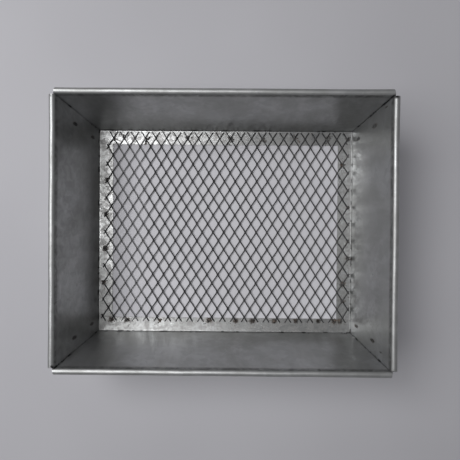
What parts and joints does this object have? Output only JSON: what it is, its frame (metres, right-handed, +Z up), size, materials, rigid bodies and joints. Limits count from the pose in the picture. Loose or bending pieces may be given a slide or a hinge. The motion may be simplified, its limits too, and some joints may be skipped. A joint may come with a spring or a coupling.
{
  "type": "gravel classifier sieve",
  "caption": "Rectangular galvanised sheet-steel hand sieve: flared walls with wired rims and inward flanges, and an expanded-metal screen tacked to the flanges.",
  "frame": {"origin": "centre of the base, on the plane of the flange undersides", "axes": "+X along the long side, +Y to the rear wall, +Z up through the open top"},
  "size_m": [0.3478, 0.2858, 0.095],
  "materials": {
    "galvanised_sheet": "satin",
    "rim_wire": "satin",
    "expanded_metal": "matte",
    "lap_weld": "matte",
    "tack_weld": "matte"
  },
  "bodies": {
    "root": {"front_rim_wire": "rim_wire", "front_wall": "galvanised_sheet", "lap_weld_front_left_lower": "lap_weld", "lap_weld_front_left_upper": "lap_weld", "lap_weld_front_right_lower": "lap_weld", "lap_weld_front_right_upper": "lap_weld", "lap_weld_rear_left_lower": "lap_weld", "lap_weld_rear_left_upper": "lap_weld", "lap_weld_rear_right_lower": "lap_weld", "lap_weld_rear_right_upper": "lap_weld", "left_rim_wire": "rim_wire", "left_wall": "galvanised_sheet", "mesh_screen": "expanded_metal", "rear_rim_wire": "rim_wire", "rear_wall": "galvanised_sheet", "right_rim_wire": "rim_wire", "right_wall": "galvanised_sheet", "tack_front_1": "tack_weld", "tack_front_10": "tack_weld", "tack_front_11": "tack_weld", "tack_front_2": "tack_weld", "tack_front_3": "tack_weld", "tack_front_4": "tack_weld", "tack_front_5": "tack_weld", "tack_front_6": "tack_weld", "tack_front_7": "tack_weld", "tack_front_8": "tack_weld", "tack_front_9": "tack_weld", "tack_left_1": "tack_weld", "tack_left_2": "tack_weld", "tack_left_3": "tack_weld", "tack_left_4": "tack_weld", "tack_rear_1": "tack_weld", "tack_rear_2": "tack_weld", "tack_rear_3": "tack_weld", "tack_rear_4": "tack_weld", "tack_rear_5": "tack_weld", "tack_rear_6": "tack_weld", "tack_rear_7": "tack_weld", "tack_rear_8": "tack_weld", "tack_rear_9": "tack_weld", "tack_right_1": "tack_weld", "tack_right_2": "tack_weld", "tack_right_3": "tack_weld", "tack_right_4": "tack_weld", "tack_right_5": "tack_weld"}
  },
  "joints": []
}
